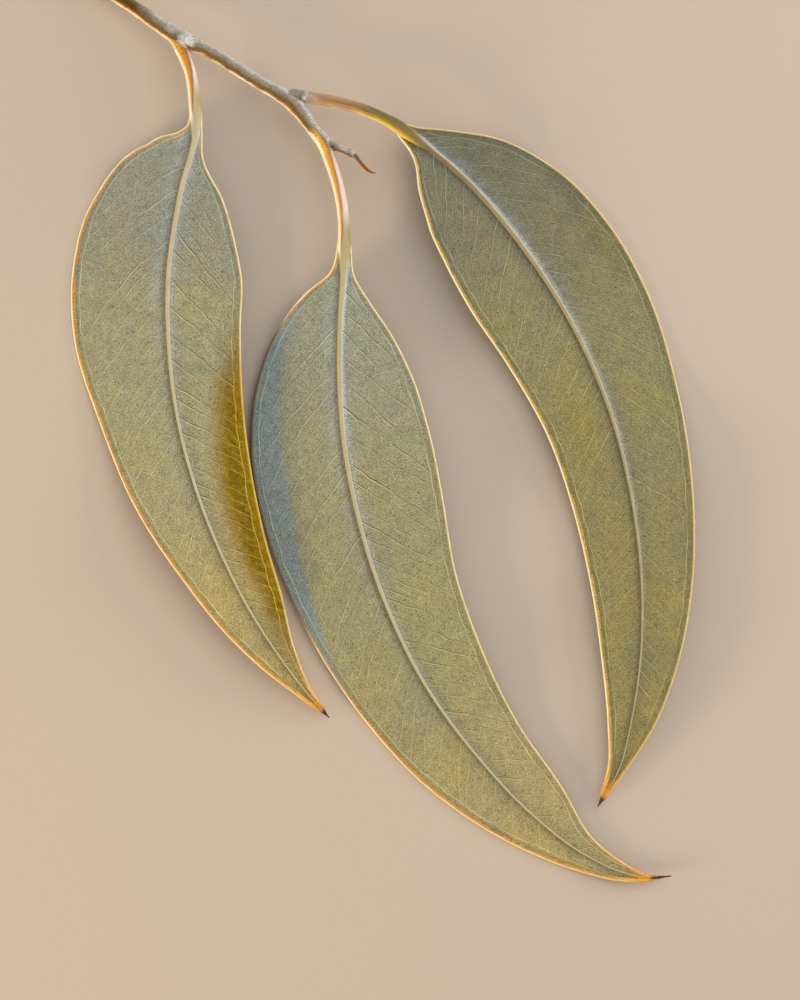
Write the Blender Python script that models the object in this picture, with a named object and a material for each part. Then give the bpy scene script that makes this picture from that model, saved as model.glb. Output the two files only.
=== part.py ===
"""Eucalyptus branch: a cut twig with three sickle leaves and a dried shoot tip, laid flat on a table.

Lengths below are in millimetres and become metres when a mesh is made. +X is to the right and +Y is
up as one looks down on the branch, +Z is up from the table, and the table is z = 0. Points are read
from a sketch whose middle is the middle of the picture; SKETCH_TO_FRAME moves them so that the
origin is the middle of the bottom of the box round the whole branch.
"""
import math

import bmesh
import bpy
import numpy as np
from mathutils import Matrix, Vector

NAME = "eucalyptus_branch"
MM = 0.001
SKETCH_TO_FRAME = (3.56, -15.74, 0.0)

# Leaf blade and rib
BLADE_THICK = 0.7
RIB_HALF_WIDTH = (0.85, 0.3)  # at the foot of the blade and at its tip
RIB_HEIGHT = (0.5, 0.15)
WAVE_HEIGHT = 0.45  # how far the edge waves up and down
WAVE_LENGTH = 37.0
SOFT_CONTACT = 0.5  # how gently a blade bends to lie on the table
JOINT_GAP = 0.3
TIP_HALF_WIDTH = 0.35
FOOT = 4  # the station at the foot of the blade

# Shares of the half blade where the grid has a line, from the edge of the rib to the margin
BLADE_LINES = (0.3, 0.6, 0.85, 1.0)
STALK_STATIONS = 8
BLADE_STATIONS = 36
CROWDING = 0.09  # how much closer the stations lie at the foot and the tip

# Each leaf is a row of stations from the twig to the tip. A station is the middle of the rib
# (x, y, z), the half widths to the left and right, and how far each half leans up, in degrees.
# The first four stations are the stalk, and the fifth is the foot of the blade.
LEAVES = {
    "leaf_left": (
        (-42.9, 88.1, 6.6, 1.15, 1.15, 0, 0),
        (-42.0, 86.0, 6.8, 1.1, 1.1, 0, 0),
        (-41.2, 82.0, 7.0, 1.0, 1.0, 0, 0),
        (-40.7, 78.6, 6.8, 1.0, 1.0, 0, 0),
        (-40.5, 76.2, 6.5, 1.6, 1.1, -4, 2),
        (-40.9, 72.3, 6.1, 5.0, 1.5, -10, 4),
        (-41.9, 68.6, 5.8, 9.1, 2.8, -13, 6),
        (-43.5, 63.7, 5.4, 13.6, 7.5, -14, 6),
        (-45.1, 56.2, 4.5, 17.4, 11.7, -14, 7),
        (-46.5, 46.0, 3.6, 19.2, 14.9, -13, 8),
        (-46.6, 33.1, 3.5, 18.9, 14.8, -13, 10),
        (-44.8, 17.7, 4.1, 15.5, 13.7, -8, 11),
        (-40.8, 2.9, 5.0, 13.0, 11.6, -2, 8),
        (-35.3, -11.6, 5.3, 9.3, 9.3, 3, 3),
        (-29.3, -22.9, 5.0, 6.8, 6.7, 6, -3),
        (-23.4, -31.3, 4.2, 4.7, 2.8, 7, -6),
        (-19.1, -37.7, 3.2, 2.2, 1.1, 5, -5),
        (-14.2, -43.7, 2.0, TIP_HALF_WIDTH, TIP_HALF_WIDTH, 0, 0),
    ),
    "leaf_middle": (
        (-14.0, 68.4, 6.5, 1.1, 1.1, 0, 0),
        (-12.9, 65.2, 6.8, 1.0, 1.0, 0, 0),
        (-11.4, 58.6, 7.1, 1.0, 1.0, 0, 0),
        (-10.9, 52.4, 6.9, 1.1, 1.1, 0, 0),
        (-11.0, 49.6, 6.7, 1.9, 1.5, -2, -2),
        (-11.3, 44.9, 6.3, 3.5, 2.2, -6, -4),
        (-11.7, 40.3, 5.9, 7.6, 5.4, -9, -5),
        (-12.1, 34.1, 5.5, 12.1, 10.0, -10, -4),
        (-12.2, 24.8, 5.0, 16.2, 14.5, -10, -1),
        (-11.4, 12.4, 4.6, 18.6, 17.2, -9, 3),
        (-8.5, -2.8, 4.4, 18.8, 17.4, -8, 5),
        (-2.8, -20.4, 4.2, 16.9, 15.1, -9, 5),
        (5.4, -37.1, 3.4, 14.4, 13.1, -11, 4),
        (16.7, -51.9, 2.3, 11.9, 9.8, -13, 3),
        (27.2, -63.2, 1.3, 7.7, 7.8, -13, 3),
        (36.7, -71.2, 1.2, 3.6, 3.9, -8, 3),
        (45.2, -74.9, 1.5, 1.7, 1.7, 0, 0),
        (49.8, -75.8, 1.9, 0.7, 0.6, 0, 0),
        (54.4, -75.4, 2.6, TIP_HALF_WIDTH, TIP_HALF_WIDTH, 0, 0),
    ),
    "leaf_right": (
        (-18.1, 80.4, 7.1, 1.1, 1.1, 0, 0),
        (-13.2, 79.5, 7.6, 0.98, 0.98, 0, 0),
        (-6.9, 77.8, 8.0, 0.95, 0.95, 0, 0),
        (-1.2, 75.2, 7.7, 1.1, 1.1, 0, 0),
        (1.8, 73.1, 7.4, 1.8, 1.9, 1, -2),
        (5.5, 70.4, 7.0, 4.1, 4.5, 4, -8),
        (9.1, 67.7, 6.6, 8.2, 7.4, 5, -12),
        (13.8, 63.8, 6.1, 11.9, 11.1, 5, -16),
        (20.0, 57.2, 5.2, 14.7, 14.7, 4, -19),
        (27.6, 47.8, 4.4, 16.7, 16.2, 3, -19),
        (35.2, 34.7, 4.0, 15.7, 16.3, 0, -16),
        (42.1, 17.9, 4.0, 13.6, 14.4, -4, -9),
        (46.5, 0.3, 4.4, 12.0, 12.3, -8, -2),
        (48.5, -17.7, 4.6, 10.1, 10.0, -9, 3),
        (48.0, -32.9, 4.4, 7.6, 7.4, -8, 5),
        (46.0, -44.8, 3.8, 4.5, 4.8, -6, 5),
        (44.0, -53.7, 2.9, 2.4, 1.5, -3, 3),
        (39.7, -61.6, 1.8, TIP_HALF_WIDTH, TIP_HALF_WIDTH, 0, 0),
    ),
}

# The twig from its cut end to the last node: points x, y, z and the radius there. It goes on into
# the seat of the middle leaf.
TWIG = (
    (-66.7, 107.2, 1.9, 1.4),
    (-60.4, 103.2, 2.7, 1.32),
    (-54.1, 99.1, 3.9, 1.3),
    (-49.2, 95.8, 4.9, 1.5),
    (-46.4, 93.9, 5.4, 1.68),
    (-44.0, 92.5, 5.8, 1.85),
    (-41.8, 91.4, 6.0, 1.6),
    (-39.3, 90.4, 6.1, 1.38),
    (-35.3, 88.2, 6.3, 1.33),
    (-31.2, 85.6, 6.5, 1.36),
    (-27.2, 83.1, 6.6, 1.32),
    (-23.2, 80.8, 6.8, 1.55),
    (-20.6, 78.8, 6.8, 1.75),
    (-18.8, 76.4, 6.8, 1.45),
    (-16.8, 73.7, 6.7, 1.3),
    (-15.0, 71.4, 6.6, 1.5),
)
# Each seat: points from the twig outwards, and the radius at its flat end. The last two points of a
# seat are worked out from the piece that it carries.
SEATS = {
    "leaf_middle": (TWIG, 1.25),
    "leaf_left": (((-44.3, 92.2, 5.9, 1.5),), 1.3),
    "leaf_right": (((-21.9, 80.7, 6.8, 1.4),), 1.25),
    "shoot_tip": (((-15.2, 71.6, 6.6, 1.1), (-12.2, 70.2, 7.1, 0.82)), 0.68),
}
SEAT_LENGTH = 0.8
CUT_SLANT_DEG = 25.0
CUT_BACK = 1.2  # how far inside the twig's last point the cut crosses its middle
CUT_BLOCK = 12.0

# Dried shoot tip: a small curled point at the end of the last seat
SHOOT_TIP = (
    (-8.9, 68.4, 7.7, 0.64),
    (-8.1, 67.5, 7.7, 0.6),
    (-7.3, 66.4, 7.9, 0.56),
    (-6.3, 65.5, 8.1, 0.45),
    (-5.5, 65.1, 8.3, 0.3),
    (-4.8, 65.0, 8.6, 0.15),
)

MATERIALS = {
    "leaf": ((0.30, 0.29, 0.16, 1.0), 0.55),
    "bark": ((0.36, 0.33, 0.25, 1.0), 0.8),
    "dry_tip": ((0.30, 0.14, 0.06, 1.0), 0.85),
}


def clear_scene():
    """Remove the objects of the start file."""
    for old in list(bpy.data.objects):
        bpy.data.objects.remove(old, do_unlink=True)


def new_collection(name):
    """A collection of the scene by this name."""
    made = bpy.data.collections.new(name)
    bpy.context.scene.collection.children.link(made)
    return made


def make_material(name, colour, roughness):
    """A Principled material."""
    made = bpy.data.materials.new(name)
    made.use_nodes = True
    shader = made.node_tree.nodes["Principled BSDF"]
    shader.inputs["Base Color"].default_value = colour
    shader.inputs["Roughness"].default_value = roughness
    return made


def smooth_rows(rows, distance, at):
    """The rows read at distances along the way: a cubic between neighbours, with the slope at each
    row taken from the rows on both sides of it."""
    slope = np.gradient(rows, distance, axis=0)
    low = np.clip(np.searchsorted(distance, at, side="right") - 1, 0, len(distance) - 2)
    span = (distance[low + 1] - distance[low])[:, None]
    u = (at[:, None] - distance[low][:, None]) / span
    return (
        (1 + 2 * u) * (1 - u) ** 2 * rows[low]
        + u * (1 - u) ** 2 * span * slope[low]
        + u**2 * (3 - 2 * u) * rows[low + 1]
        + u**2 * (u - 1) * span * slope[low + 1]
    )


def lie_on_table(height):
    """Heights over the table with those below it brought up to it, and a soft bend between."""
    bend = (height + SOFT_CONTACT) ** 2 / (4 * SOFT_CONTACT)
    lifted = np.where(height < SOFT_CONTACT, bend, height)
    return np.where(height < -SOFT_CONTACT, 0.0, lifted)


def leaf_grids(stations):
    """Underside and top of one leaf as two grids of points with the same lines.

    The grid's rows go along the leaf, its columns across it from the left margin to the right one.
    The middle height is the rib's height, plus the lean of each half, plus a wave that grows toward
    the margin. The half thickness goes from a round stalk to a thin blade with a raised rib."""
    table = np.array(stations, float)
    steps = np.hypot(*np.diff(table[:, :2], axis=0).T)
    distance = np.concatenate(([0.0], np.cumsum(steps)))
    foot, length = distance[FOOT], distance[-1]
    share = np.linspace(0, 1, BLADE_STATIONS)
    share = share - CROWDING * np.sin(2 * math.pi * share)
    along = np.concatenate((
        np.linspace(0, foot, STALK_STATIONS, endpoint=False),
        foot + share * (length - foot),
    ))
    read = smooth_rows(table, distance, along)
    middle, rib_z = read[:, 0:2], read[:, 2]
    heading = np.gradient(middle, along, axis=0)
    heading /= np.linalg.norm(heading, axis=1)[:, None]
    to_right = np.stack((-heading[:, 1], heading[:, 0]), axis=1)

    blade = np.clip((along - foot) / (length - foot), 0, 1)
    spread = np.clip((along - foot + 3.0) / 9.0, 0, 1)
    spread = spread * spread * (3 - 2 * spread)
    rib_half = RIB_HALF_WIDTH[0] + (RIB_HALF_WIDTH[1] - RIB_HALF_WIDTH[0]) * blade
    rib_rise = RIB_HEIGHT[0] + (RIB_HEIGHT[1] - RIB_HEIGHT[0]) * blade

    columns = []
    for side, width, lean in ((-1, read[:, 3], read[:, 5]), (1, read[:, 4], read[:, 6])):
        width = np.maximum(width, TIP_HALF_WIDTH)
        rib = np.minimum(rib_half, 0.5 * width)
        offsets = [(0.5 * rib, 0.75), (rib, 0.0)]
        offsets += [(rib + part * (width - rib), 0.0) for part in BLADE_LINES]
        half = []
        for offset, crest in offsets:
            part = offset / width
            wave = np.sin(2 * math.pi * along / WAVE_LENGTH + 2.0 * side)
            wave = WAVE_HEIGHT * spread * wave * part**2 * np.minimum(1, width / 10)
            centre = rib_z + offset * np.tan(np.radians(lean)) + wave
            stalk = width * np.sqrt(np.maximum(0, 1 - part**2))
            thick = (1 - spread) * stalk + spread * (0.5 * BLADE_THICK + crest * rib_rise)
            thick = np.maximum(thick, 0.5 * BLADE_THICK)
            half.append((side * offset, centre, thick))
        columns.append(half)
    crest = (1 - spread) * 0.5 * (read[:, 3] + read[:, 4])
    crest = np.maximum(crest + spread * (0.5 * BLADE_THICK + rib_rise), 0.5 * BLADE_THICK)
    ordered = columns[0][::-1] + [(np.zeros(len(along)), rib_z, crest)] + columns[1]

    offset = np.stack([c[0] for c in ordered], axis=1)
    centre = np.stack([c[1] for c in ordered], axis=1)
    thick = np.stack([c[2] for c in ordered], axis=1)
    plan = middle[:, None, :] + offset[:, :, None] * to_right[:, None, :]
    under = lie_on_table(centre - thick)
    low = np.concatenate((plan, under[:, :, None]), axis=2)
    high = np.concatenate((plan, (under + 2 * thick)[:, :, None]), axis=2)
    return low, high


def make_leaf(name, stations, material, collection):
    """One leaf with its stalk: a closed loft from round stalk to thin blade, the same triangles on
    the underside and the top."""
    low, high = leaf_grids(stations)
    rows, cols = low.shape[:2]
    points = np.concatenate((low.reshape(-1, 3), high.reshape(-1, 3)))
    points = (points + np.array(SKETCH_TO_FRAME)) * MM
    top = rows * cols
    faces = []
    for i in range(rows - 1):
        for j in range(cols - 1):
            a, b, c, d = i * cols + j, i * cols + j + 1, (i + 1) * cols + j + 1, (i + 1) * cols + j
            faces += [(a, b, c), (a, c, d)]
            faces += [(top + a, top + c, top + b), (top + a, top + d, top + c)]
        for j in (0, cols - 1):
            a, d = i * cols + j, (i + 1) * cols + j
            faces.append((a, d, top + d, top + a) if j == 0 else (a, top + a, top + d, d))
    end = list(range(cols)) + [top + j for j in reversed(range(cols))]
    last = (rows - 1) * cols
    faces += [end[::-1], [last + k for k in end]]
    mesh = bpy.data.meshes.new(name)
    mesh.from_pydata([tuple(p) for p in points], [], faces)
    body = bmesh.new()
    body.from_mesh(mesh)
    bmesh.ops.recalc_face_normals(body, faces=body.faces)
    body.to_mesh(mesh)
    body.free()
    made = bpy.data.objects.new(name, mesh)
    made.data.materials.append(material)
    collection.objects.link(made)
    return made


def make_tube(name, points, collection):
    """A tube through points with a radius at each, as a closed mesh."""
    curve = bpy.data.curves.new(name + "_line", "CURVE")
    curve.dimensions = "3D"
    curve.bevel_depth = MM
    curve.bevel_resolution = 3
    curve.use_fill_caps = True
    spline = curve.splines.new("POLY")
    spline.points.add(len(points) - 1)
    for knot, (x, y, z, radius) in zip(spline.points, points):
        place = (Vector((x, y, z)) + Vector(SKETCH_TO_FRAME)) * MM
        knot.co = (*place, 1.0)
        knot.radius = radius
    holder = bpy.data.objects.new(name + "_line", curve)
    collection.objects.link(holder)
    graph = bpy.context.evaluated_depsgraph_get()
    mesh = bpy.data.meshes.new_from_object(holder.evaluated_get(graph))
    bpy.data.objects.remove(holder, do_unlink=True)
    body = bmesh.new()
    body.from_mesh(mesh)
    bmesh.ops.remove_doubles(body, verts=body.verts, dist=1e-7)
    bmesh.ops.recalc_face_normals(body, faces=body.faces)
    body.to_mesh(mesh)
    body.free()
    mesh.name = name
    made = bpy.data.objects.new(name, mesh)
    collection.objects.link(made)
    return made


def seat_points(name):
    """The points of a seat, ending flat and square to the piece that it carries, a gap short of it."""
    carried = SHOOT_TIP if name == "shoot_tip" else LEAVES[name]
    start, radius = SEATS[name]
    first, second = (Vector(p[:3]) for p in carried[:2])
    outward = (second - first) * Vector((1, 1, 0))
    outward.normalize()
    ends = [(*(first - outward * back), radius) for back in (JOINT_GAP + SEAT_LENGTH, JOINT_GAP)]
    return list(start) + ends


def make_cut_block(collection):
    """The block whose near face is the slanted cut at the end of the twig."""
    end, inner = (Vector(p[:3]) for p in TWIG[:2])
    axis = (end - inner).normalized()
    mesh = bpy.data.meshes.new("twig_cut")
    body = bmesh.new()
    bmesh.ops.create_cube(body, size=CUT_BLOCK * MM)
    face = Matrix.Rotation(math.radians(CUT_SLANT_DEG), 4, "Z") @ axis
    near = end - axis * CUT_BACK + Vector(SKETCH_TO_FRAME)
    turn = face.to_track_quat("X", "Z").to_matrix().to_4x4()
    place = Matrix.Translation((near + face * 0.5 * CUT_BLOCK) * MM) @ turn
    bmesh.ops.transform(body, matrix=place, verts=body.verts)
    body.to_mesh(mesh)
    body.free()
    made = bpy.data.objects.new("twig_cut", mesh)
    collection.objects.link(made)
    made.hide_render = True
    made.display_type = "WIRE"
    return made


def add_boolean(target, other, operation):
    """Join or cut the target with another solid."""
    step = target.modifiers.new(operation.lower() + "_" + other.name, "BOOLEAN")
    step.operation = operation
    step.solver = "EXACT"
    step.object = other


def build():
    """Make the branch."""
    clear_scene()
    parts = new_collection(NAME)
    cutters = new_collection("cutters")
    materials = {name: make_material(name, *look) for name, look in MATERIALS.items()}

    root = bpy.data.objects.new(NAME + "_root", None)
    parts.objects.link(root)

    pieces = [make_leaf(name, rows, materials["leaf"], parts) for name, rows in LEAVES.items()]

    twig = make_tube("twig", seat_points("leaf_middle"), parts)
    twig.data.materials.append(materials["bark"])
    for name in ("leaf_left", "leaf_right", "shoot_tip"):
        seat = make_tube("seat_of_" + name, seat_points(name), cutters)
        seat.hide_render = True
        seat.display_type = "WIRE"
        add_boolean(twig, seat, "UNION")
    add_boolean(twig, make_cut_block(cutters), "DIFFERENCE")
    pieces.append(twig)

    tip = make_tube("shoot_tip", SHOOT_TIP, parts)
    tip.data.materials.append(materials["dry_tip"])
    pieces.append(tip)

    for piece in pieces:
        piece.parent = root


build()
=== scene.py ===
# %% [markdown]
# # A eucalyptus branch on a table
# A cut twig with three sickle-shaped leaves and a small dried shoot tip, seen from straight above.
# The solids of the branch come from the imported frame. Here each of them is replaced by a finer
# piece of the same form, and gets what makes a eucalyptus leaf look like one: a raised rib, side
# veins, a golden edge and a bloom of pale wax.

import math

import bpy
import numpy as np
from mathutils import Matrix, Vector


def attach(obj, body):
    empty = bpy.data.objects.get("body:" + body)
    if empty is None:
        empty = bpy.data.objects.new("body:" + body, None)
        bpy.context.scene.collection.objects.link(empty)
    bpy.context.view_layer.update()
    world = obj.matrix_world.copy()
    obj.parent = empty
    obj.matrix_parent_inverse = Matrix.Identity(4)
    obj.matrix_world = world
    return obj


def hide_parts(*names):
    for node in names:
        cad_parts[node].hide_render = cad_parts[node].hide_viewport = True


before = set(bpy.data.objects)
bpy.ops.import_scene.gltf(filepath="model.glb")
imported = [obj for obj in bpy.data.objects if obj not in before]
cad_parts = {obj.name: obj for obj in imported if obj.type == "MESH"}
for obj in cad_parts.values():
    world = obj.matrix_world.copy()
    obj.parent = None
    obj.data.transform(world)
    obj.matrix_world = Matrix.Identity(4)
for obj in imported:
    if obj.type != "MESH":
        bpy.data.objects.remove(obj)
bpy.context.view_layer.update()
MM = 0.001
# From the middle of the drawing, where the lines below were read, to that of the frame, in mm.
SKETCH_TO_FRAME = np.array((3.56, -15.74, 0.0))
UP = np.array((0, 0, 1.0))

# %% [markdown]
# ## Colours
# Colours are picked as one reads them off a screen, from 0 to 255, and a shader wants them linear.
# Most pieces carry their colour in the mesh, one colour a point, because the tones of a leaf follow
# its own lines: darker at the foot, blue beside the rib, gold at the edge. A picture could do it
# too, but a formula stays sharp at any size.


# %% Colour helpers
def colour(red, green, blue):
    """Screen colour to linear: below 0.04 a straight line, above it a power of 2.4."""
    value = np.array((red, green, blue), float) / 255
    return np.where(value < 0.04045, value / 12.92, ((value + 0.055) / 1.055) ** 2.4)


def mix(first, second, amount):
    """first where amount is 0, second where it is 1, and a straight blend between."""
    amount = np.clip(np.asarray(amount, float), 0, 1)[..., None]
    return first * (1 - amount) + second * amount
def shaded(tint, factor, amount):
    """A colour multiplied by a factor, as far as the amount says."""
    return mix(tint, tint * factor, amount)

def bell(value, middle, width):
    """1 at the middle, falling off as a bell curve of this width."""
    return np.exp(-(((value - middle) / width) ** 2))


def step(value, start, end):
    """0 before start, 1 after end, and an S-shaped rise between."""
    share = np.clip((value - start) / (end - start), 0, 1)
    return share * share * (3 - 2 * share)


def ramp(value, stops):
    """A colour read off a row of stops, each a place and a screen colour, straight between them."""
    tones = np.array([colour(*stop[1:]) for stop in stops])
    places = [stop[0] for stop in stops]
    return np.stack([np.interp(value, places, channel) for channel in tones.T], axis=-1)


def cloud(x, y, size, seed, waves=9):
    """Soft random patches from -1 to 1: the mean of sine waves that run in random directions."""
    draw = np.random.default_rng(seed)
    turn = draw.uniform(0, 2 * math.pi, waves)
    length = size * draw.uniform(0.7, 1.5, waves)
    shift = draw.uniform(0, 2 * math.pi, waves)
    total = 0
    for a, l, s in zip(turn, length, shift):
        total = total + np.sin(2 * math.pi * (x * math.cos(a) + y * math.sin(a)) / l + s)
    return total / waves * 1.8


def colours(*rows):
    """Several screen colours at once."""
    return [colour(*row) for row in rows]


print("a leaf green, linear:", colour(156, 151, 119).round(3))

# %% [markdown]
# ## Lines and directions
# The branch is drawn by lines: ribs, veins, edges and the middle line of the twig. A few small sums
# come back for all of them, so each stands here once.


# %% Line helpers
def unit(vectors):
    """Vectors divided by their length. One without length stays as it is."""
    length = np.linalg.norm(vectors, axis=-1, keepdims=True)
    return vectors / np.where(length > 0, length, 1)


def way_along(points):
    """Distance of each point of a line from its first one, measured along it."""
    steps = np.linalg.norm(np.diff(points, axis=0), axis=1)
    return np.concatenate(([0.0], np.cumsum(steps)))


def turns(points):
    """Angles in radians that share out one full turn."""
    return np.linspace(0, 2 * math.pi, points, endpoint=False)


def to_frame(spots):
    """Points of the drawing, in mm, as points of the frame, in metres."""
    return (spots + SKETCH_TO_FRAME) * MM


print("an eighth of a turn:", turns(8)[1].round(3), "radians")

# %% [markdown]
# ## The lines of the leaves
# A leaf is settled by stations along its rib: where the rib is, how wide each half of the blade is
# there, and how far it leans up. Everything on the leaf, from its edge to its finest vein, is then
# placed by two numbers: how far along the rib, and how far across from it.

# %% Stations of the leaves, in mm
# Rib x, y, z; half width left and right; lean of each half in degrees. The fifth row is the foot of
# the blade.
LEAVES = {
    "leaf_left": (
        (-42.9, 88.1, 6.6, 1.2, 1.2, 0, 0),
        (-42.05, 86.0, 6.8, 1.15, 1.15, 0, 0),
        (-41.2, 82.0, 7.0, 1.17, 1.17, 0, 0),
        (-40.9, 78.6, 6.8, 1.22, 1.22, 0, 0),
        (-40.7, 76.2, 6.5, 1.32, 1.25, -4, 2),
        (-40.75, 74.3, 6.3, 2.0, 1.28, -7, 3),
        (-40.85, 72.29, 6.1, 5.05, 1.45, -10, 4),
        (-41.8, 68.57, 5.8, 9.2, 2.7, -13, 6),
        (-43.29, 63.65, 5.4, 13.82, 7.28, -14, 6),
        (-44.85, 56.16, 4.5, 17.65, 11.45, -14, 7),
        (-46.3, 45.99, 3.6, 19.4, 14.7, -13, 8),
        (-46.4, 33.11, 3.5, 19.1, 14.6, -13, 10),
        (-44.7, 17.72, 4.1, 15.6, 13.6, -8, 11),
        (-40.94, 2.85, 5.0, 12.85, 11.75, -2, 8),
        (-35.3, -11.6, 5.3, 9.3, 9.3, 3, 3),
        (-29.47, -23.0, 5.0, 6.6, 6.9, 6, -3),
        (-23.89, -31.64, 4.2, 4.1, 3.4, 7, -6),
        (-19.3, -37.85, 3.2, 1.95, 1.35, 5, -5),
        (-14.2, -43.7, 2.0, 0.35, 0.35, 0, 0),
    ),
    "leaf_middle": (
        (-14.2, 68.4, 6.5, 1.25, 1.25, 0, 0),
        (-13.1, 65.2, 6.8, 1.2, 1.2, 0, 0),
        (-11.55, 58.6, 7.1, 1.16, 1.16, 0, 0),
        (-11.1, 52.4, 6.9, 1.28, 1.28, 0, 0),
        (-11.15, 49.6, 6.7, 1.5, 1.5, -2, -2),
        (-11.3, 44.9, 6.3, 2.9, 2.2, -6, -4),
        (-11.65, 40.3, 5.9, 7.65, 5.35, -9, -5),
        (-12.0, 34.1, 5.5, 12.2, 9.9, -10, -4),
        (-12.1, 24.8, 5.0, 16.3, 14.4, -10, -1),
        (-11.3, 12.41, 4.6, 18.7, 17.1, -9, 3),
        (-8.5, -2.8, 4.4, 18.8, 17.4, -8, 5),
        (-2.91, -20.45, 4.2, 16.78, 15.22, -9, 5),
        (5.23, -37.21, 3.4, 14.2, 13.3, -11, 4),
        (16.24, -52.28, 2.3, 11.3, 10.4, -13, 3),
        (26.92, -63.49, 1.3, 7.3, 8.2, -13, 3),
        (36.81, -71.03, 1.2, 3.8, 3.7, -8, 3),
        (45.2, -74.9, 1.5, 1.7, 1.7, 0, 0),
        (49.8, -75.8, 1.9, 0.7, 0.6, 0, 0),
        (54.4, -75.4, 2.6, 0.35, 0.35, 0, 0),
    ),
    "leaf_right": (
        (-18.1, 80.2, 7.1, 1.2, 1.2, 0, 0),
        (-13.2, 79.3, 7.6, 1.18, 1.18, 0, 0),
        (-6.95, 77.6, 8.0, 1.15, 1.15, 0, 0),
        (-1.3, 74.95, 7.7, 1.3, 1.3, 0, 0),
        (1.7, 72.95, 7.4, 1.95, 1.9, 1, -2),
        (5.41, 70.28, 7.0, 3.95, 4.65, 4, -8),
        (8.91, 67.47, 6.6, 7.9, 7.7, 5, -12),
        (13.48, 63.47, 6.1, 11.44, 11.56, 5, -16),
        (19.58, 56.84, 5.2, 14.15, 15.25, 4, -19),
        (26.9, 47.32, 4.4, 15.85, 17.05, 3, -19),
        (34.8, 34.5, 4.0, 15.25, 16.75, 0, -16),
        (42.0, 17.87, 4.0, 13.5, 14.5, -4, -9),
        (46.4, 0.28, 4.4, 11.9, 12.4, -8, -2),
        (48.4, -17.7, 4.6, 10.0, 10.1, -9, 3),
        (48.0, -32.9, 4.4, 7.6, 7.4, -8, 5),
        (46.2, -44.84, 3.8, 4.7, 4.6, -6, 5),
        (44.0, -53.7, 2.9, 2.4, 1.5, -3, 3),
        (39.7, -61.6, 1.8, 0.35, 0.35, 0, 0),
    ),
}
FOOT = 4
BLADE_THICK = 0.6
TIP_HALF_WIDTH = 0.35
DRIED_POINT = {"leaf_left": 2.0, "leaf_middle": 4.0, "leaf_right": 2.1}
WAVE_HEIGHT = 0.45
WAVE_LENGTH = 37.0
SOFT_CONTACT = 0.5
# Half width and height of the rib on the blade, at the foot and at the tip.
RIB_HALF_WIDTH = (0.74, 0.14)
RIB_HEIGHT = (0.5, 0.12)
print(len(LEAVES), "leaves,", sum(len(rows) for rows in LEAVES.values()), "stations")
# %% [markdown]
# ## A leaf as a function
# A real leaf bends and waves softly, so a cubic is laid through the stations. Then any spot on the
# leaf can be asked for by its two numbers, and many thousands of spots are answered at once. Where
# the blade would dip below the table, it is lifted onto it with a soft bend.
# %% Reading a leaf anywhere
def smooth_rows(rows, distance, at):
    """A cubic between neighbouring rows, with each row's slope taken from the rows beside it."""
    slope = np.gradient(rows, distance, axis=0)
    low = np.clip(np.searchsorted(distance, at, side="right") - 1, 0, len(distance) - 2)
    span = (distance[low + 1] - distance[low])[:, None]
    u = (at[:, None] - distance[low][:, None]) / span
    return (
        (1 + 2 * u) * (1 - u) ** 2 * rows[low]
        + u * (1 - u) ** 2 * span * slope[low]
        + u**2 * (3 - 2 * u) * rows[low + 1]
        + u**2 * (u - 1) * span * slope[low + 1]
    )


def lie_on_table(height):
    """Heights below the table are brought up to it, with a soft bend where the blade meets it."""
    bend = (height + SOFT_CONTACT) ** 2 / (4 * SOFT_CONTACT)
    lifted = np.where(height < SOFT_CONTACT, bend, height)
    return np.where(height < -SOFT_CONTACT, 0.0, lifted)


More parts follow.
